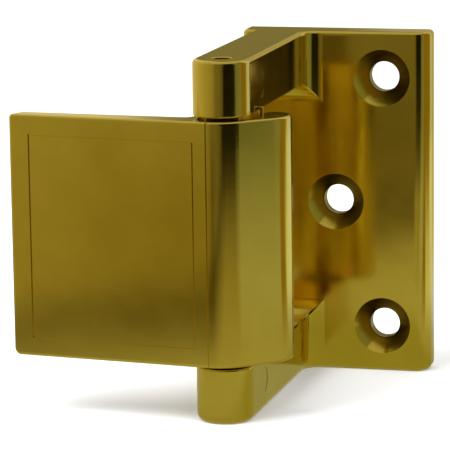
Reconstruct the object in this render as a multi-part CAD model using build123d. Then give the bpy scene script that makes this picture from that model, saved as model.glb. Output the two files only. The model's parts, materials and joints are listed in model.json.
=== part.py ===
from build123d import *
import math
import os

# Flip-type door guard: a mounting plate with two arms, and a leaf that swings between them.
# Millimetres. +Z is up, the door side is -Y, and the leaf lies towards -X when it guards.
# Origin: centre of the middle screw hole, on the plate's mounting face (Y = 0).

# mounting plate
plate_width = 37.0
plate_height = 67.2
plate_thickness = 5.7
plate_bevel_width = 1.6
plate_bevel_depth = 2.5
plate_bevel_front_rounding = 2.4
plate_bevel_side_rounding = 2.0
plate_left_rounding = 1.6
plate_left_edge_rounding = 0.8

# screw holes, number 12 flat-head
screw_hole_radius = 2.95
countersink_radius = 5.55
countersink_angle = 82
corner_hole_x = 9.2
corner_hole_spacing = 49.1

# arms, and the round knuckles at their ends
pin_x = -11.9
pin_y = -48.27
arm_radius = 5.35
arm_root_left = -16.3
arm_root_right = -5.9
arm_inner_z = 23.2
arm_root_fillet = 3.5
upper_outline_rounding = 0.9
lower_outline_rounding = 1.4
arm_inner_rounding = 0.4

# crescent marks at the edges of the flush plugs in the arms' right faces
plug_radius = 2.4
plug_mark_width = 0.5
plug_mark_depth = 0.12
plug_z = 27.8
plug_y = (-40.5, -12.2)

# hinge pin
pin_radius = 1.75
pin_recess = 1.6
pin_chamfer = 0.4
pin_hole_chamfer = 0.15

# leaf, in plan measured from the pin axis
leaf_height = 45.5
front_face_distance = 6.72
front_face_slope = 6.35
nose_radius = 7.5
tongue_slope = 41.3
tongue_front_distance = 6.41
tongue_flat_length = 7.1
tongue_front_radius = 6.4
tongue_end_radius = 3.4
tongue_end_angle = 10.0
barrel_radius = 6.0
back_face_distance = -0.83
back_face_slope = 3.44
tip_front_x = -40.4
tip_back_x = -38.8
leaf_hollow_fillet = 1.5
leaf_edge_rounding = 0.6
leaf_lower_corner_radius = 1.3
leaf_upper_corner_radius = 0.7

# engraved lines on the leaf's front
line_width = 0.36
line_depth = 0.3
frame_left = 0.108
frame_right = 0.933
frame_top = 19.1
seam_share = 1.0

# bearings between leaf and pin
running_clearance = 0.05
bushing_outer_radius = 2.6
bushing_length = 8.0
middle_bore_radius = 2.1
washer_radius = 2.95
washer_thickness = 0.35

# stop pins, one in each end of the leaf
stop_pin_radius = 0.4
stop_pin_gap = 0.15
stop_pin_above_leaf = 1.3
stop_pin_in_leaf = 4.5

# detent balls and springs
detent_offset = 4.1
detent_angles = (180, 0, -90)
ball_radius = 1.0
ball_bore_radius = 1.05
ball_bore_depth = 7.0
ball_gap_to_arm = 0.02
ball_travel = 0.35
dimple_clearance = 0.05
wire_radius = 0.15
spring_turns = 7

# how near a point or edge has to lie to be the one that is looked for
tolerance = 0.02

half_height = plate_height / 2
half_leaf = leaf_height / 2
front_y = -plate_thickness
stop_pin_offset = arm_radius + stop_pin_radius + stop_pin_gap
ball_centre_z = arm_inner_z - ball_gap_to_arm - ball_radius
ENDS = {"upper": 1, "lower": -1}


def polar(radius, degrees):
    """Point at a radius and an angle around the pin axis, in plan."""
    angle = math.radians(degrees)
    return Vector(radius * math.cos(angle), radius * math.sin(angle))


def cylinder_up(radius, x, y, z_low, z_high):
    """Upright cylinder between two heights."""
    height = z_high - z_low
    return Pos(x, y, z_low + height / 2) * Cylinder(radius, height)


def mirrored(solid, side):
    """The solid itself for the upper end, its mirror image for the lower end."""
    return solid if side > 0 else mirror(solid, Plane.XY)


def edges_on(solid, axis, **where):
    """Straight edges along an axis whose centre lies at the given coordinates."""
    found = ShapeList()
    for edge in solid.edges().filter_by(axis):
        centre = edge.center()
        if all(abs(getattr(centre, name) - value) < tolerance for name, value in where.items()):
            found.append(edge)
    return found


def make_plate():
    """Mounting plate: its right front edge is bevelled, its left front edge rounded."""
    half_width = plate_width / 2
    bevel_front = (half_width - plate_bevel_width, front_y)
    bevel_side = (half_width, front_y + plate_bevel_depth)
    corners = [(-half_width, 0), (half_width, 0), bevel_side, bevel_front, (-half_width, front_y)]
    plan = make_face(Polyline(*corners, close=True))
    roundings = {
        bevel_side: plate_bevel_side_rounding,
        bevel_front: plate_bevel_front_rounding,
        (-half_width, front_y): plate_left_rounding,
    }
    for (x, y), radius in roundings.items():
        corner = plan.vertices().sort_by_distance(Vector(x, y))[0]
        plan = fillet(corner, radius)
    return Pos(0, 0, -half_height) * extrude(plan, amount=plate_height)


def tangent_point(root_x, side):
    """Where the line from an arm's root meets its round knuckle: left for -1, right for 1."""
    root = Vector(root_x - pin_x, front_y - pin_y)
    direction = math.degrees(math.atan2(root.Y, root.X))
    opening = math.degrees(math.acos(arm_radius / root.length))
    return Vector(pin_x, pin_y) + polar(arm_radius, direction - side * opening)


def make_arm(side):
    """Arm of one end, from inside the plate to its round knuckle."""
    inside_y = front_y / 2
    corners = [
        tangent_point(arm_root_left, -1),
        Vector(arm_root_left, front_y),
        Vector(arm_root_left, inside_y),
        Vector(arm_root_right, inside_y),
        Vector(arm_root_right, front_y),
        tangent_point(arm_root_right, 1),
    ]
    bar = extrude(make_face(Polyline(*corners, close=True)), amount=half_height - arm_inner_z)
    knuckle = cylinder_up(arm_radius, pin_x, pin_y, arm_inner_z, half_height)
    return mirrored(Pos(0, 0, arm_inner_z) * bar + knuckle, side)


def screw_hole(x, z):
    """Clearance hole and countersink, open at the plate's front face."""
    drill = Cylinder(screw_hole_radius, 3 * plate_thickness)
    depth = (countersink_radius - screw_hole_radius) / math.tan(math.radians(countersink_angle / 2))
    cone = Pos(0, 0, plate_thickness - depth / 2) * Cone(screw_hole_radius, countersink_radius, depth)
    return Pos(x, 0, z) * (Rot(90, 0, 0) * (drill + cone))


def detent_dimples(side):
    """Seats of a detent ball in one arm: leaf guarding, folded back and straight out."""
    seat = Pos(pin_x, pin_y, side * (ball_centre_z + ball_travel)) * Sphere(ball_radius + dimple_clearance)
    return [Pos(polar(detent_offset, angle)) * seat for angle in detent_angles]


def plug_mark(y, z):
    """Cutter of the crescent at a flush plug's edge, on the side of the mounting face."""
    plug = Cylinder(plug_radius, 2 * plug_mark_depth)
    mark = plug - Pos(0, -plug_mark_width, 0) * Cylinder(plug_radius, 1)
    front = tangent_point(arm_root_right, 1)
    share = (y - front.Y) / (front_y - front.Y)
    face_x = front.X + share * (arm_root_right - front.X)
    return Pos(face_x, y, z) * (Rot(0, 90, 0) * mark)


def level_edges(solid, z):
    """Edges of a solid that lie at one height."""
    return solid.edges().filter_by_position(Axis.Z, z - tolerance, z + tolerance)


def outline_edges(solid, z, left_of_arm):
    """Edges of the casting's flat end: of the plate left of the arm, or all the others."""
    found = ShapeList()
    for edge in level_edges(solid, z):
        centre = edge.center()
        is_left = centre.X < arm_root_left and centre.Y > front_y - tolerance
        if centre.Y < -tolerance and is_left == left_of_arm:
            found.append(edge)
    return found


def knuckle_edges(solid, z):
    """Edges of an arm's inner face, from its root to its round end."""
    behind = front_y - arm_root_fillet - 1
    return ShapeList(edge for edge in level_edges(solid, z) if edge.center().Y < behind)


def make_base_casting():
    """Mounting plate and both arms, one casting."""
    base = make_plate() + make_arm(1) + make_arm(-1)
    roots = edges_on(base, Axis.Z, X=arm_root_right, Y=front_y)
    for side in ENDS.values():
        roots += edges_on(base, Axis.X, Y=front_y, Z=side * arm_inner_z)
    base = fillet(roots, arm_root_fillet)
    for side in ENDS.values():
        base = fillet(knuckle_edges(base, side * arm_inner_z), arm_inner_rounding)
    for side, rounding in ((1, upper_outline_rounding), (-1, lower_outline_rounding)):
        base = fillet(outline_edges(base, side * half_height, False), rounding)
        base = fillet(outline_edges(base, side * half_height, True), plate_left_edge_rounding)
    corner_z = corner_hole_spacing / 2
    for x, z in ((0, 0), (corner_hole_x, corner_z), (corner_hole_x, -corner_z)):
        base -= screw_hole(x, z)
    base -= cylinder_up(pin_radius, pin_x, pin_y, -plate_height, plate_height)
    for side in ENDS.values():
        rim_z = half_height - pin_hole_chamfer / 2
        rim = Cone(pin_radius, pin_radius + pin_hole_chamfer, pin_hole_chamfer)
        base -= mirrored(Pos(pin_x, pin_y, rim_z) * rim, side)
        for seat in detent_dimples(side):
            base -= seat
        for y in plug_y:
            base -= plug_mark(y, side * plug_z)
    return base


def leaf_outline():
    """Plan of the leaf about the pin axis: flat part, rounded nose and short tongue."""
    front_slope = math.radians(-front_face_slope)
    back_slope = math.radians(-back_face_slope)
    tip_front_y = (-front_face_distance + tip_front_x * math.sin(front_slope)) / math.cos(front_slope)
    tip_back_y = back_face_distance + tip_back_x * math.tan(back_slope)
    tip_front = Vector(tip_front_x, tip_front_y)
    tip_back = Vector(tip_back_x, tip_back_y)

    # centre of the nose arc, tangent to the leaf's front and to the tongue's front
    a, b = math.sin(-front_slope), math.cos(front_slope)
    c, d = -math.sin(math.radians(tongue_slope)), math.cos(math.radians(tongue_slope))
    p = nose_radius - front_face_distance
    q = nose_radius - tongue_front_distance
    centre_x = (p * d - q * b) / (a * d - b * c)
    centre_y = (a * q - c * p) / (a * d - b * c)
    nose_centre = Vector(centre_x, centre_y)
    nose_start = nose_centre + polar(nose_radius, -90 - front_face_slope)
    nose_end = nose_centre + polar(nose_radius, -90 + tongue_slope)
    nose_middle = nose_centre + polar(nose_radius, -90 + (tongue_slope - front_face_slope) / 2)

    along_tongue = polar(1, tongue_slope)
    flat_end = nose_end + along_tongue * tongue_flat_length

    # the tongue's end: a wide arc at its front, then a tighter one round to its back
    front_angle = tongue_slope - 90
    back_angle = tongue_slope + 90
    wide_centre = flat_end - polar(tongue_front_radius, front_angle)
    wide_middle = wide_centre + polar(tongue_front_radius, (front_angle + tongue_end_angle) / 2)
    end_start = wide_centre + polar(tongue_front_radius, tongue_end_angle)
    end_centre = wide_centre + polar(tongue_front_radius - tongue_end_radius, tongue_end_angle)
    end_middle = end_centre + polar(tongue_end_radius, (tongue_end_angle + back_angle) / 2)
    end_finish = end_centre + polar(tongue_end_radius, back_angle)

    # where the tongue's back and the leaf's back run into the barrel
    along = end_finish.dot(along_tongue)
    off = end_finish.length ** 2 - along ** 2
    barrel_start = end_finish - along_tongue * (along - math.sqrt(barrel_radius ** 2 - off))
    below_axis = math.degrees(math.asin(-back_face_distance / barrel_radius))
    barrel_finish_angle = 180 + below_axis - back_face_slope
    barrel_finish = polar(barrel_radius, barrel_finish_angle)
    start_angle = math.degrees(math.atan2(barrel_start.Y, barrel_start.X))
    barrel_middle = polar(barrel_radius, (start_angle + barrel_finish_angle) / 2)

    outline = [
        Line(tip_back, tip_front),
        Line(tip_front, nose_start),
        ThreePointArc(nose_start, nose_middle, nose_end),
        Line(nose_end, flat_end),
        ThreePointArc(flat_end, wide_middle, end_start),
        ThreePointArc(end_start, end_middle, end_finish),
        Line(end_finish, barrel_start),
        ThreePointArc(barrel_start, barrel_middle, barrel_finish),
        Line(barrel_finish, tip_back),
    ]
    hollows = [barrel_start, barrel_finish]
    return make_face(Wire(outline)), tip_front, tip_back, nose_start, hollows


def front_face_plane(tip_front):
    """Plane on the leaf's flat front, X along the face from its tip, Z out of the metal."""
    along = Vector(*polar(1, -front_face_slope))
    return Plane(origin=tip_front, x_dir=along, z_dir=along.cross(Vector(0, 0, 1)))


def engraved_lines(tip_front, face_length):
    """Cutters for the thin rectangle and the seam line on the leaf's front."""
    left = frame_left * face_length
    right = frame_right * face_length
    width = right - left
    height = 2 * frame_top
    frame = RectangleRounded(width + line_width, height + line_width, line_width)
    frame -= RectangleRounded(width - line_width, height - line_width, line_width / 2)
    sketch = Pos((left + right) / 2, 0) * frame
    sketch += Pos(face_length * seam_share, 0) * Rectangle(line_width, leaf_height + 2)
    return extrude(front_face_plane(tip_front) * sketch, amount=line_depth, both=True)


def make_latch_leaf():
    """Swinging leaf, with its bore, seats, engraved frame and seam line."""
    plan, tip_front, tip_back, nose_start, hollows = leaf_outline()
    leaf = Pos(0, 0, -half_leaf) * extrude(plan, amount=leaf_height)
    for corner in hollows:
        leaf = fillet(edges_on(leaf, Axis.Z, X=corner.X, Y=corner.Y), leaf_hollow_fillet)
    tip_middle = (tip_front + tip_back) / 2
    for side, radius in ((1, leaf_upper_corner_radius), (-1, leaf_lower_corner_radius)):
        level = level_edges(leaf, side * half_leaf)
        corner_edge = level.sort_by_distance(tip_middle + Vector(0, 0, side * half_leaf))[0]
        leaf = fillet(corner_edge, radius)
    leaf = fillet(level_edges(leaf, half_leaf), leaf_edge_rounding)
    face_length = (nose_start - tip_front).length
    leaf -= engraved_lines(tip_front, face_length)
    leaf -= cylinder_up(middle_bore_radius, 0, 0, -leaf_height, leaf_height)
    for side in ENDS.values():
        seats = cylinder_up(bushing_outer_radius, 0, 0, half_leaf - bushing_length, leaf_height)
        seats += cylinder_up(ball_bore_radius, -detent_offset, 0, half_leaf - ball_bore_depth, leaf_height)
        stop_low = half_leaf - stop_pin_in_leaf
        seats += cylinder_up(stop_pin_radius, stop_pin_offset, stop_pin_offset, stop_low, leaf_height)
        leaf -= mirrored(seats, side)
    return Pos(pin_x, pin_y, 0) * leaf


def make_hinge_pin():
    """Straight pin pressed in both arms, its ends just below their outer faces."""
    pin = cylinder_up(pin_radius, pin_x, pin_y, -half_height + pin_recess, half_height - pin_recess)
    return chamfer(pin.edges().filter_by(GeomType.CIRCLE), pin_chamfer)


def make_bushing(side):
    """Plain bush pressed in one end of the leaf's bore, turning on the pin."""
    z_low = half_leaf - bushing_length
    bush = cylinder_up(bushing_outer_radius, pin_x, pin_y, z_low, half_leaf)
    bush -= cylinder_up(pin_radius + running_clearance, pin_x, pin_y, z_low - 1, half_leaf + 1)
    return mirrored(bush, side)


def make_washer(side):
    """Thrust washer in the gap between the leaf's end and an arm."""
    z_high = half_leaf + washer_thickness
    washer = cylinder_up(washer_radius, pin_x, pin_y, half_leaf, z_high)
    washer -= cylinder_up(pin_radius + running_clearance, pin_x, pin_y, half_leaf - 1, z_high + 1)
    return mirrored(washer, side)


def make_stop_pin(side):
    """Pin standing out of the leaf's end, which meets the sides of the arm."""
    z_low = half_leaf - stop_pin_in_leaf
    z_high = half_leaf + stop_pin_above_leaf
    pin = cylinder_up(stop_pin_radius, pin_x + stop_pin_offset, pin_y + stop_pin_offset, z_low, z_high)
    pin = fillet(pin.edges().group_by(Axis.Z)[-1], stop_pin_radius / 2)
    return mirrored(pin, side)


def make_detent_ball(side):
    """Ball in a bore of the leaf's end, touching the arm's inner face."""
    return Pos(pin_x - detent_offset, pin_y, side * ball_centre_z) * Sphere(ball_radius)


def make_detent_spring(side):
    """Coil spring under a detent ball."""
    coil_radius = ball_bore_radius - 2 * wire_radius
    z_low = half_leaf - ball_bore_depth + wire_radius
    z_high = ball_centre_z - math.sqrt((ball_radius + wire_radius) ** 2 - coil_radius ** 2)
    height = z_high - z_low
    path = Helix(pitch=height / spring_turns, height=height, radius=coil_radius)
    section = Plane(origin=path @ 0, z_dir=path % 0) * Circle(wire_radius)
    coil = sweep(section, path=path)
    return mirrored(Pos(pin_x - detent_offset, pin_y, z_low) * coil, side)


parts = {
    "base_casting": make_base_casting(),
    "latch_leaf": make_latch_leaf(),
    "hinge_pin": make_hinge_pin(),
}
for end, side in ENDS.items():
    parts[f"{end}_bushing"] = make_bushing(side)
    parts[f"{end}_thrust_washer"] = make_washer(side)
    parts[f"{end}_stop_pin"] = make_stop_pin(side)
    parts[f"{end}_detent_ball"] = make_detent_ball(side)
    parts[f"{end}_detent_spring"] = make_detent_spring(side)

os.makedirs("parts", exist_ok=True)
for name, solid in parts.items():
    solid.label = name
    export_step(solid, f"parts/{name}.step")
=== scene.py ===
import json
import math

import bpy
from mathutils import Matrix, Vector


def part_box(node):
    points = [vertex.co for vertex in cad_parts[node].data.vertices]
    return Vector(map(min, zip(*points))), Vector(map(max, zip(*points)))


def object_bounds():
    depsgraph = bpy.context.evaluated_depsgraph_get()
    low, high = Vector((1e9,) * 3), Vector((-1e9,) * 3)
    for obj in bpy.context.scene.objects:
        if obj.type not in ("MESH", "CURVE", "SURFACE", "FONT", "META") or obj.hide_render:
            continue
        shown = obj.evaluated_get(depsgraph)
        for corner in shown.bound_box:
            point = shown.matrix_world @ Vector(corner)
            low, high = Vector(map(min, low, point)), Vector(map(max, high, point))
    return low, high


# Brass flip-type door guard, standing on the lower ends of its plate and arm in a light tent.
# Metres, in the frame of the CAD: +Z up, the door side towards -Y, the leaf towards -X.

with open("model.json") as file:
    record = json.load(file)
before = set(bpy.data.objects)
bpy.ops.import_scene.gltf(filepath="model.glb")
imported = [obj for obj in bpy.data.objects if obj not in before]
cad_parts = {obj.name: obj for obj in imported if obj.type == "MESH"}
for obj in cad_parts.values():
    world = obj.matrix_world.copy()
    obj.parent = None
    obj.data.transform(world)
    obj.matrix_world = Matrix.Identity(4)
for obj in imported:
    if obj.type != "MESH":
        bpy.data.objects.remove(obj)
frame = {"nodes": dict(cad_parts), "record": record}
cad_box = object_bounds()
low, high = cad_box
middle = (low + high) / 2
nodes_by_name = frame["nodes"]

MM = 0.001

# camera: degrees round the object from -Y towards +X, and above the horizon; lens and sensor in mm
CAMERA_AZIMUTH = 14.26
CAMERA_ELEVATION = 10.65
CAMERA_ROLL = -0.77
CAMERA_DISTANCE = 0.55558
CAMERA_LENS = 233.4
CAMERA_SENSOR = 36.0
CAMERA_NEAR = 0.01
CAMERA_FAR = 20.0
# how far the aim point lies from the object's middle, in the picture's plane
AIM_RIGHT = -0.000185
AIM_UP = -0.001171

# finishes, linear colours
BRASS_DEEP = (0.68, 0.50, 0.060)
BRASS_BRIGHT = (0.76, 0.575, 0.078)
BRASS_WORN = (0.80, 0.63, 0.14)
# painted shade: the dark colour put on the insides of the screw holes' bores
PAINTED_BORE_SHADE = (0.16, 0.11, 0.015)
STEEL_DEEP = (0.52, 0.51, 0.49)
STEEL_BRIGHT = (0.64, 0.63, 0.60)
NYLON_DEEP = (0.012, 0.011, 0.010)
NYLON_BRIGHT = (0.022, 0.020, 0.018)

# textures: scales per metre, depths in metres; a noise value mostly lies in NOISE_RANGE
NOISE_RANGE = (0.3, 0.7)
NOISE_DETAIL = 4.0
NOISE_ROUGHNESS = 0.55
LINE_DETAIL = 2.0
WAVE_DETAIL = 1.0
UNSTRETCHED = (1.0, 1.0, 1.0)
CLOUD_SCALE = 90.0
HAZE_SCALE = 220.0
WAVE_SCALE = 75.0
UPRIGHT_BRUSHING = (900.0, 900.0, 140.0)
LEVEL_BRUSHING = (140.0, 900.0, 1600.0)
WEAR_WIDTH = 0.0007
WEAR_ROUGHNESS = 0.10

# lacquer on the brass
LACQUER_WEIGHT = 0.12
LACQUER_ROUGHNESS = 0.08

# brass finishes: roughness from and to, depth of the brushing, depth of the polishing waves
POLISHED = ((0.09, 0.14), 0.0000015, 0.0001)
SATIN = ((0.12, 0.17), 0.000002, 0.00004)
PLATED = ((0.15, 0.25), 0.000003, 0.00002)

# the leaf's satin front ends at the seam line; from there its rounded part is polished
SEAM_FROM_PIN = -0.00165
SATIN_BLEND = 0.0003
POLISHED_SHARE = 0.75

# turned countersinks and the drill holes in them; the bores get painted shade, a dark brass colour
HOLE_MOUNTS = ("middle_screw_hole", "corner_screw_holes")
COUNTERSINK_RADIUS = 0.00558
COUNTERSINK_ROUGHNESS = 0.05
DRILLED_RADIUS = 0.003
HOLE_EDGE = 0.00015
TURNING_SCALE = 5000.0
TURNING_DEPTH = 0.000006

# nylon bearings
NYLON_GRAIN_SCALE = 1800.0
NYLON_GRAIN_DEPTH = 0.00001
NYLON_ROUGHNESS = (0.35, 0.55)

# drawn steel of balls and springs
STEEL_DRAWING = (2500.0, 2500.0, 150.0)
STEEL_DRAWING_DEPTH = 0.000002
STEEL_ROUGHNESS = (0.16, 0.30)

# floor and background
FLOOR_SIZE = 6.0
FLOOR_GRAIN_SCALE = 40.0
FLOOR_DEEP = (0.86, 0.86, 0.86)
FLOOR_BRIGHT = (0.88, 0.88, 0.88)
FLOOR_ROUGHNESS = 0.9
BACKGROUND_COLOUR = (0.96, 0.96, 0.96)
BACKGROUND_STRENGTH = 1.0

# soft lights: name, azimuth and elevation in degrees, distance, side and power in watts
LIGHTS = (
    ("key_light", -50, 55, 1.2, 0.8, 14.0),
    ("fill_light", 60, 45, 1.4, 1.0, 7.0),
)

# light tent round the object, seen only in its reflections
TENT_RADIUS = 0.34
TENT_HEIGHT = 0.5
TENT_SIDES = 128
ROOF_COLOUR = (1.0, 0.97, 0.90)
ROOF_GLOW = 0.5
# the tent's table is even near the object, and takes the colours below at two distances
NEAR_RADIUS = 0.07
MID_RADIUS = 0.13
MID_END = 0.16
FAR_RADIUS = 0.32
TABLE_GLOW = (0.44, 0.43, 0.31)
# light that the brass throws back on the table between the arm and the plate
PATCH_GLOW = (0.35, 0.34, 0.14)
PATCH_CENTRE = (0.003, -0.020)
PATCH_RADIUS = 0.030
PATCH_END = 0.045

# dark strip on the table, in front of the leaf: a point on its darkest line, the line's direction,
# and how far it fades on the side away from the object and on the side near it
STRIP_POINT = (-0.065, -0.147)
STRIP_ANGLE = -52.0
STRIP_FAR_WIDTH = 0.036
STRIP_NEAR_WIDTH = 0.068
STRIP_DARKNESS = 0.60

# tints of the tent
WHITE = (1.0, 0.93, 0.73)
WARM = (1.0, 0.885, 0.48)
AMBER = (1.0, 0.82, 0.29)
YELLOW = (1.0, 0.86, 0.27)
BLUISH = (0.92, 0.97, 0.92)
GREENISH = (0.90, 0.98, 0.73)
ORANGE = (1.05, 0.73, 0.12)
CREAM = (1.0, 1.12, 1.25)

# the tent by direction: degrees (azimuth as for the camera), brightness, tint
MID_TABLE = (
    (-180, 0.38, WARM),
    (-113, 0.30, WHITE),
    (-73, 0.45, WHITE),
    (-43, 0.42, WARM),
    (-27, 0.29, AMBER),
    (-20, 0.28, AMBER),
    (-14, 0.23, AMBER),
    (-9, 0.17, AMBER),
    (6, 0.32, WARM),
    (20, 0.36, WARM),
    (50, 0.34, WARM),
    (59, 0.46, BLUISH),
    (83, 0.46, BLUISH),
    (87, 0.26, ORANGE),
    (104, 0.30, ORANGE),
    (112, 0.75, CREAM),
    (150, 0.75, CREAM),
    (160, 0.60, YELLOW),
    (174, 0.40, WARM),
    (180, 0.38, WARM),
)
FAR_TABLE = (
    (-180, 0.36, WARM),
    (-113, 0.25, WHITE),
    (-73, 0.45, WHITE),
    (-43, 0.46, WARM),
    (-27, 0.28, AMBER),
    (-20, 0.28, AMBER),
    (-14, 0.25, AMBER),
    (-10, 0.10, AMBER),
    (2, 0.15, WARM),
    (16, 0.13, WARM),
    (22, 0.012, WARM),
    (52, 0.016, WARM),
    (63, 0.27, GREENISH),
    (80, 0.32, GREENISH),
    (87, 0.32, GREENISH),
    (91, 0.25, ORANGE),
    (113, 0.30, ORANGE),
    (121, 0.78, CREAM),
    (150, 0.75, CREAM),
    (160, 0.60, YELLOW),
    (174, 0.38, WARM),
    (180, 0.36, WARM),
)
TENT_WALL = (
    (-180, 0.45, WARM),
    (-174, 0.40, WARM),
    (-172, 0.22, YELLOW),
    (-163, 0.22, YELLOW),
    (-160, 0.75, WARM),
    (-100, 0.60, WHITE),
    (-50, 0.42, WARM),
    (-32, 0.37, WARM),
    (-20, 0.32, WARM),
    (-10, 0.20, WARM),
    (4, 0.18, WARM),
    (14, 0.13, WARM),
    (20, 0.010, WARM),
    (60, 0.010, WARM),
    (67, 0.22, GREENISH),
    (90, 0.28, GREENISH),
    (94, 0.25, ORANGE),
    (118, 0.28, ORANGE),
    (126, 0.60, CREAM),
    (150, 0.60, CREAM),
    (160, 0.50, YELLOW),
    (174, 0.45, WARM),
    (180, 0.45, WARM),
)


def new_material(name):
    """Material with a Principled shader; its nodes, links and shader."""
    material = bpy.data.materials.new(name)
    material.use_nodes = True
    tree = material.node_tree
    return material, tree.nodes, tree.links, tree.nodes["Principled BSDF"]


def texture_place(nodes, links, scale):
    """Object coordinates, stretched by a scale along each axis."""
    place = nodes.new("ShaderNodeTexCoord")
    mapping = nodes.new("ShaderNodeMapping")
    mapping.inputs["Scale"].default_value = scale
    links.new(place.outputs["Object"], mapping.inputs["Vector"])
    return mapping.outputs["Vector"]


def noise(nodes, links, vector, scale, detail=NOISE_DETAIL):
    """Noise value at a scale per metre."""
    texture = nodes.new("ShaderNodeTexNoise")
    texture.inputs["Scale"].default_value = scale
    texture.inputs["Detail"].default_value = detail
    texture.inputs["Roughness"].default_value = NOISE_ROUGHNESS
    links.new(vector, texture.inputs["Vector"])
    return texture.outputs["Fac"]


def ramp(nodes, links, value, stops):
    """Colour ramp over a value, from (position, colour) stops in rising order."""
    node = nodes.new("ShaderNodeValToRGB")
    elements = node.color_ramp.elements
    elements.remove(elements[1])
    elements[0].position = stops[0][0]
    elements[0].color = (*stops[0][1], 1.0)
    for position, colour in stops[1:]:
        elements.new(position).color = (*colour, 1.0)
    links.new(value, node.inputs["Fac"])
    return node.outputs["Color"]


def two_tones(nodes, links, value, deep, bright):
    """Colour from deep to bright over the usual range of a noise value."""
    return ramp(nodes, links, value, ((NOISE_RANGE[0], deep), (NOISE_RANGE[1], bright)))


def to_range(nodes, links, value, from_low, from_high, to_low, to_high):
    """Value moved linearly from one range to another, held at its ends."""
    node = nodes.new("ShaderNodeMapRange")
    node.inputs["From Min"].default_value = from_low
    node.inputs["From Max"].default_value = from_high
    node.inputs["To Min"].default_value = to_low
    node.inputs["To Max"].default_value = to_high
    links.new(value, node.inputs["Value"])
    return node.outputs["Result"]


def bump(nodes, links, height, distance, below=None):
    """Bump normal from a height, over another bump if one is given."""
    node = nodes.new("ShaderNodeBump")
    node.inputs["Distance"].default_value = distance
    links.new(height, node.inputs["Height"])
    if below is not None:
        links.new(below, node.inputs["Normal"])
    return node.outputs["Normal"]


def math_node(nodes, links, operation, *values):
    """Result of a maths node on sockets or plain numbers."""
    node = nodes.new("ShaderNodeMath")
    node.operation = operation
    for socket, value in zip(node.inputs, values):
        if isinstance(value, (int, float)):
            socket.default_value = value
        else:
            links.new(value, socket)
    return node.outputs["Value"]


def mix_colours(nodes, links, share, first, second):
    """Mix of two colours, each a socket or plain numbers."""
    node = nodes.new("ShaderNodeMix")
    node.data_type = "RGBA"
    colours = [socket for socket in node.inputs if socket.type == "RGBA"]
    for socket, colour in zip(colours, (first, second)):
        if isinstance(colour, tuple):
            socket.default_value = (*colour, 1.0)
        else:
            links.new(colour, socket)
    links.new(share, node.inputs[0])
    return [socket for socket in node.outputs if socket.type == "RGBA"][0]


def end_wear(nodes, links, node_name, texture):
    """Mask of handling wear: patchy, along the top and bottom of a node's height."""
    split = nodes.new("ShaderNodeSeparateXYZ")
    links.new(nodes.new("ShaderNodeTexCoord").outputs["Object"], split.inputs["Vector"])
    height = math_node(nodes, links, "ABSOLUTE", split.outputs["Z"])
    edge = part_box(node_name)[1][2]
    near = to_range(nodes, links, height, edge - WEAR_WIDTH, edge, 0.0, 1.0)
    return math_node(nodes, links, "MULTIPLY", near, texture)


def screw_hole_centres():
    """X and Z of the screw holes, from the record's mounts."""
    centres = []
    for mount in frame["record"]["mounts"]:
        if mount["name"] in HOLE_MOUNTS:
            x, _, z = mount["pos_m"]
            half = mount["dims"].get("spacing_y_mm", 0.0) * MM / 2
            centres.append((x, z + half))
            if half:
                centres.append((x, z - half))
    return centres


def distance_to_holes(nodes, links, place):
    """Distance in the plate's plane to the nearest screw hole's axis."""
    flat = nodes.new("ShaderNodeVectorMath")
    flat.operation = "MULTIPLY"
    flat.inputs[1].default_value = (1.0, 0.0, 1.0)
    links.new(place, flat.inputs[0])
    nearest = None
    for x, z in screw_hole_centres():
        distance = nodes.new("ShaderNodeVectorMath")
        distance.operation = "DISTANCE"
        distance.inputs[1].default_value = (x, 0.0, z)
        links.new(flat.outputs["Vector"], distance.inputs[0])
        if nearest is None:
            nearest = distance.outputs["Value"]
        else:
            nearest = math_node(nodes, links, "MINIMUM", nearest, distance.outputs["Value"])
    return nearest


def turned(nodes, links, distance):
    """Fine rings of a turned face, by the distance from its axis."""
    texture = nodes.new("ShaderNodeTexNoise")
    texture.noise_dimensions = "1D"
    texture.inputs["Scale"].default_value = TURNING_SCALE
    links.new(distance, texture.inputs["W"])
    return texture.outputs["Fac"]


def inside_of(nodes, links, distance, radius):
    """One within a radius of a hole's axis, nought outside it."""
    return to_range(nodes, links, distance, radius, radius + HOLE_EDGE, 1.0, 0.0)


def satin_share(nodes, links, place, seam_x):
    """One on the satin side of the seam, and less on the polished side."""
    split = nodes.new("ShaderNodeSeparateXYZ")
    links.new(place, split.inputs["Vector"])
    start = seam_x - SATIN_BLEND
    return to_range(nodes, links, split.outputs["X"], start, seam_x, 1.0, POLISHED_SHARE)


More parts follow.
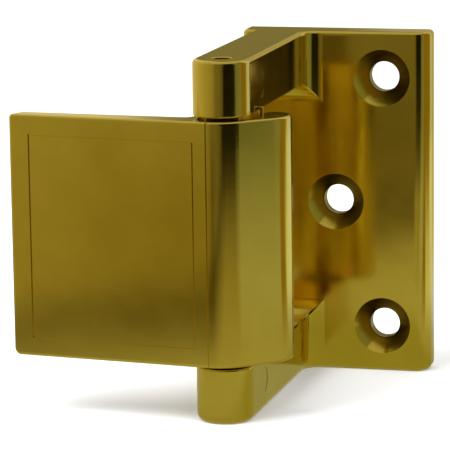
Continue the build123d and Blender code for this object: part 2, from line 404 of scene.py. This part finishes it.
def brass(name, node_name, finish, brushing, seam_x=None, holes=False):
    """Lacquered brass: cloudy tone, fine brushing, wear at its ends and slight polishing waves;
    with holes, turned countersinks and painted shade in the screw holes' bores.
    """
    roughness, brush_depth, wave_depth = finish
    material, nodes, links, shader = new_material(name)
    plain = texture_place(nodes, links, UNSTRETCHED)
    clouds = noise(nodes, links, plain, CLOUD_SCALE)
    haze = noise(nodes, links, plain, HAZE_SCALE)
    wear = end_wear(nodes, links, node_name, haze)
    tone = two_tones(nodes, links, clouds, BRASS_DEEP, BRASS_BRIGHT)
    tone = mix_colours(nodes, links, wear, tone, BRASS_WORN)

    spread = to_range(nodes, links, haze, *NOISE_RANGE, *roughness)
    fine = noise(nodes, links, texture_place(nodes, links, brushing), 1.0, detail=LINE_DETAIL)
    if seam_x is not None:
        satin = satin_share(nodes, links, plain, seam_x)
        spread = math_node(nodes, links, "MULTIPLY", spread, satin)
        fine = math_node(nodes, links, "MULTIPLY", fine, satin)
    worn_spread = math_node(nodes, links, "MULTIPLY", wear, WEAR_ROUGHNESS)
    spread = math_node(nodes, links, "ADD", spread, worn_spread)

    waves = noise(nodes, links, plain, WAVE_SCALE, detail=WAVE_DETAIL)
    normal = bump(nodes, links, waves, wave_depth)
    normal = bump(nodes, links, fine, brush_depth, below=normal)
    if holes:
        distance = distance_to_holes(nodes, links, plain)
        sunk = inside_of(nodes, links, distance, COUNTERSINK_RADIUS)
        bore_shade = inside_of(nodes, links, distance, DRILLED_RADIUS)
        spread = math_node(nodes, links, "MULTIPLY_ADD", sunk, COUNTERSINK_ROUGHNESS, spread)
        rings = math_node(nodes, links, "MULTIPLY", turned(nodes, links, distance), sunk)
        normal = bump(nodes, links, rings, TURNING_DEPTH, below=normal)
        # painted shade: within the screw holes' bores the brass colour is mixed to a dark tone
        tone = mix_colours(nodes, links, bore_shade, tone, PAINTED_BORE_SHADE)

    shader.inputs["Metallic"].default_value = 1.0
    shader.inputs["Coat Weight"].default_value = LACQUER_WEIGHT
    shader.inputs["Coat Roughness"].default_value = LACQUER_ROUGHNESS
    links.new(tone, shader.inputs["Base Color"])
    links.new(spread, shader.inputs["Roughness"])
    links.new(normal, shader.inputs["Normal"])
    return material


def nylon(name):
    """Dark moulded nylon with a fine matt grain."""
    material, nodes, links, shader = new_material(name)
    plain = texture_place(nodes, links, UNSTRETCHED)
    grain = noise(nodes, links, plain, NYLON_GRAIN_SCALE)
    haze = noise(nodes, links, plain, HAZE_SCALE)
    tone = two_tones(nodes, links, haze, NYLON_DEEP, NYLON_BRIGHT)
    spread = to_range(nodes, links, grain, *NOISE_RANGE, *NYLON_ROUGHNESS)
    links.new(tone, shader.inputs["Base Color"])
    links.new(spread, shader.inputs["Roughness"])
    links.new(bump(nodes, links, grain, NYLON_GRAIN_DEPTH), shader.inputs["Normal"])
    return material


def steel(name):
    """Bright drawn steel with fine lines along Z."""
    material, nodes, links, shader = new_material(name)
    plain = texture_place(nodes, links, UNSTRETCHED)
    drawn = noise(nodes, links, texture_place(nodes, links, STEEL_DRAWING), 1.0, detail=LINE_DETAIL)
    haze = noise(nodes, links, plain, HAZE_SCALE)
    tone = two_tones(nodes, links, haze, STEEL_DEEP, STEEL_BRIGHT)
    spread = to_range(nodes, links, drawn, *NOISE_RANGE, *STEEL_ROUGHNESS)
    shader.inputs["Metallic"].default_value = 1.0
    links.new(tone, shader.inputs["Base Color"])
    links.new(spread, shader.inputs["Roughness"])
    links.new(bump(nodes, links, drawn, STEEL_DRAWING_DEPTH), shader.inputs["Normal"])
    return material


def set_material(node_name, material):
    """Gives a CAD node's slots a material."""
    for slot in nodes_by_name[node_name].material_slots:
        slot.material = material


def set_visibility(item, camera, glossy, diffuse, shadow):
    """Says which rays see a thing."""
    item.visible_camera = camera
    item.visible_glossy = glossy
    item.visible_diffuse = diffuse
    item.visible_transmission = glossy
    item.visible_volume_scatter = False
    item.visible_shadow = shadow


def add_mesh(name, points, faces, material):
    """Mesh object from points and faces, linked to the scene."""
    mesh = bpy.data.meshes.new(name)
    mesh.from_pydata(points, [], faces)
    mesh.materials.append(material)
    item = bpy.data.objects.new(name, mesh)
    bpy.context.scene.collection.objects.link(item)
    return item


def round_colour(nodes, links, x, y, directions):
    """Colour by direction round the tent's upright axis."""
    angle = math_node(nodes, links, "ARCTAN2", x, math_node(nodes, links, "MULTIPLY", y, -1.0))
    share = to_range(nodes, links, angle, -math.pi, math.pi, 0.0, 1.0)
    stops = []
    for direction, brightness, colour in directions:
        stops.append(((direction + 180) / 360, tuple(brightness * part for part in colour)))
    return ramp(nodes, links, share, stops)


def strip_shade(nodes, links, x, y):
    """One everywhere, and darker along the strip in front of the leaf."""
    angle = math.radians(STRIP_ANGLE)
    across = (-math.sin(angle), math.cos(angle))
    start = (STRIP_POINT[0] - middle.x) * across[0] + (STRIP_POINT[1] - middle.y) * across[1]
    part_x = math_node(nodes, links, "MULTIPLY", x, across[0])
    part_y = math_node(nodes, links, "MULTIPLY", y, across[1])
    reach = math_node(nodes, links, "ADD", part_x, part_y)
    offset = math_node(nodes, links, "SUBTRACT", reach, start)
    near_side = math_node(nodes, links, "DIVIDE", offset, STRIP_NEAR_WIDTH)
    far_side = math_node(nodes, links, "DIVIDE", offset, -STRIP_FAR_WIDTH)
    fade = math_node(nodes, links, "MAXIMUM", near_side, far_side)
    return to_range(nodes, links, fade, 0.0, 1.0, 1.0 - STRIP_DARKNESS, 1.0)


def length(nodes, links, x, y):
    """Length of a flat vector."""
    squares = [math_node(nodes, links, "MULTIPLY", value, value) for value in (x, y)]
    return math_node(nodes, links, "SQRT", math_node(nodes, links, "ADD", *squares))


def table_colour(nodes, links, x, y):
    """Colour of the tent's table: even near the object, then by direction at two distances."""
    distance = length(nodes, links, x, y)
    patch_x = math_node(nodes, links, "SUBTRACT", x, PATCH_CENTRE[0] - middle.x)
    patch_y = math_node(nodes, links, "SUBTRACT", y, PATCH_CENTRE[1] - middle.y)
    from_patch = length(nodes, links, patch_x, patch_y)
    off_patch = to_range(nodes, links, from_patch, PATCH_RADIUS, PATCH_END, 0.0, 1.0)
    near = mix_colours(nodes, links, off_patch, PATCH_GLOW, TABLE_GLOW)
    to_mid = to_range(nodes, links, distance, NEAR_RADIUS, MID_RADIUS, 0.0, 1.0)
    mid = mix_colours(nodes, links, to_mid, near, round_colour(nodes, links, x, y, MID_TABLE))
    to_far = to_range(nodes, links, distance, MID_END, FAR_RADIUS, 0.0, 1.0)
    return mix_colours(nodes, links, to_far, mid, round_colour(nodes, links, x, y, FAR_TABLE))


def glow_material(name, on_table):
    """Emission of the tent's table or of its wall."""
    material, nodes, links, shader = new_material(name)
    nodes.remove(shader)
    emission = nodes.new("ShaderNodeEmission")
    links.new(emission.outputs["Emission"], nodes["Material Output"].inputs["Surface"])
    place = nodes.new("ShaderNodeTexCoord")
    split = nodes.new("ShaderNodeSeparateXYZ")
    links.new(place.outputs["Object"], split.inputs["Vector"])
    x, y = split.outputs["X"], split.outputs["Y"]
    if on_table:
        colour = table_colour(nodes, links, x, y)
        links.new(strip_shade(nodes, links, x, y), emission.inputs["Strength"])
    else:
        colour = round_colour(nodes, links, x, y, TENT_WALL)
    links.new(colour, emission.inputs["Color"])
    material.cycles.emission_sampling = "NONE"
    return material


def roof_glow():
    """Even emission of the tent's roof."""
    material, _, _, shader = new_material("tent_roof_glow")
    shader.inputs["Base Color"].default_value = (0.0, 0.0, 0.0, 1.0)
    shader.inputs["Emission Color"].default_value = (*ROOF_COLOUR, 1.0)
    shader.inputs["Emission Strength"].default_value = ROOF_GLOW
    return material


def make_tent():
    """Round tent with its table and roof, seen only in the metal's reflections."""
    lower_ring = []
    upper_ring = []
    wall_faces = []
    for step in range(TENT_SIDES):
        angle = 2 * math.pi * step / TENT_SIDES
        x, y = TENT_RADIUS * math.cos(angle), TENT_RADIUS * math.sin(angle)
        lower_ring.append((x, y, 0.0))
        upper_ring.append((x, y, TENT_HEIGHT))
        after = (step + 1) % TENT_SIDES
        wall_faces.append((step, after, after + TENT_SIDES, step + TENT_SIDES))
    disc = [tuple(range(TENT_SIDES))]
    wall_material = glow_material("tent_wall_glow", False)
    wall = add_mesh("tent_wall", lower_ring + upper_ring, wall_faces, wall_material)
    table = add_mesh("tent_table", lower_ring, disc, glow_material("tent_table_glow", True))
    roof = add_mesh("tent_roof", upper_ring, disc, roof_glow())
    for item in (wall, table, roof):
        item.location = (middle.x, middle.y, low.z)
        set_visibility(item, camera=False, glossy=True, diffuse=False, shadow=False)


def make_floor():
    """Plain pale floor under the object."""
    material, nodes, links, shader = new_material("pale_floor")
    grain = noise(nodes, links, texture_place(nodes, links, UNSTRETCHED), FLOOR_GRAIN_SCALE)
    tone = two_tones(nodes, links, grain, FLOOR_DEEP, FLOOR_BRIGHT)
    links.new(tone, shader.inputs["Base Color"])
    shader.inputs["Roughness"].default_value = FLOOR_ROUGHNESS
    half = FLOOR_SIZE / 2
    points = [(-half, -half, 0.0), (half, -half, 0.0), (half, half, 0.0), (-half, half, 0.0)]
    floor = add_mesh("floor", points, [(0, 1, 2, 3)], material)
    floor.location = (middle.x, middle.y, low.z)
    set_visibility(floor, camera=True, glossy=False, diffuse=True, shadow=True)


def make_world():
    """Near-white background, which also fills the shadows and isn't seen in reflections."""
    world = bpy.data.worlds.new("studio_world")
    bpy.context.scene.world = world
    world.use_nodes = True
    background = world.node_tree.nodes["Background"]
    background.inputs["Color"].default_value = (*BACKGROUND_COLOUR, 1.0)
    background.inputs["Strength"].default_value = BACKGROUND_STRENGTH
    world.cycles_visibility.glossy = False


def towards(azimuth, elevation):
    """Unit vector from the object in a direction, in degrees round it and above the horizon."""
    a, e = math.radians(azimuth), math.radians(elevation)
    return Vector((math.sin(a) * math.cos(e), -math.cos(a) * math.cos(e), math.sin(e)))


def add_area_light(name, azimuth, elevation, distance, size, power):
    """Soft square light aimed at the object's middle."""
    data = bpy.data.lights.new(name, "AREA")
    data.shape = "SQUARE"
    data.size = size
    data.energy = power
    lamp = bpy.data.objects.new(name, data)
    bpy.context.scene.collection.objects.link(lamp)
    back = towards(azimuth, elevation)
    lamp.location = middle + back * distance
    lamp.rotation_mode = "QUATERNION"
    lamp.rotation_quaternion = back.to_track_quat("Z", "Y")
    lamp.visible_glossy = False


def make_camera():
    """Camera in front of the leaf, a little to the right and above."""
    data = bpy.data.cameras.new("camera")
    data.sensor_width = CAMERA_SENSOR
    data.lens = CAMERA_LENS
    data.clip_start = CAMERA_NEAR
    data.clip_end = CAMERA_FAR
    camera = bpy.data.objects.new("camera", data)
    bpy.context.scene.collection.objects.link(camera)
    back = towards(CAMERA_AZIMUTH, CAMERA_ELEVATION)
    right = towards(CAMERA_AZIMUTH + 90, 0)
    up = back.cross(right)
    aim = middle + right * AIM_RIGHT + up * AIM_UP
    roll = Matrix.Rotation(math.radians(CAMERA_ROLL), 3, "Z")
    turn = Matrix((right, up, back)).transposed() @ roll
    camera.matrix_world = Matrix.Translation(aim + back * CAMERA_DISTANCE) @ turn.to_4x4()
    bpy.context.scene.camera = camera


def dress_nodes():
    """Materials of the CAD nodes."""
    pin_low, pin_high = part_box("hinge_pin")
    seam_x = (pin_low[0] + pin_high[0]) / 2 + SEAM_FROM_PIN
    upright, level = UPRIGHT_BRUSHING, LEVEL_BRUSHING
    polished = brass("polished_brass_finish", "base_casting", POLISHED, upright, holes=True)
    satin = brass("satin_brass_finish", "latch_leaf", SATIN, level, seam_x=seam_x)
    plated = brass("plated_pin_finish", "hinge_pin", PLATED, upright)
    bright_steel = steel("spring_steel_finish")
    dark_nylon = nylon("bearing_nylon_finish")
    set_material("base_casting", polished)
    set_material("latch_leaf", satin)
    set_material("hinge_pin", plated)
    for end in ("upper", "lower"):
        set_material(f"{end}_stop_pin", plated)
        set_material(f"{end}_bushing", dark_nylon)
        set_material(f"{end}_thrust_washer", dark_nylon)
        set_material(f"{end}_detent_ball", bright_steel)
        set_material(f"{end}_detent_spring", bright_steel)


bpy.context.scene.view_settings.view_transform = "Standard"
make_camera()
make_world()
make_floor()
make_tent()
for light in LIGHTS:
    add_area_light(*light)
dress_nodes()
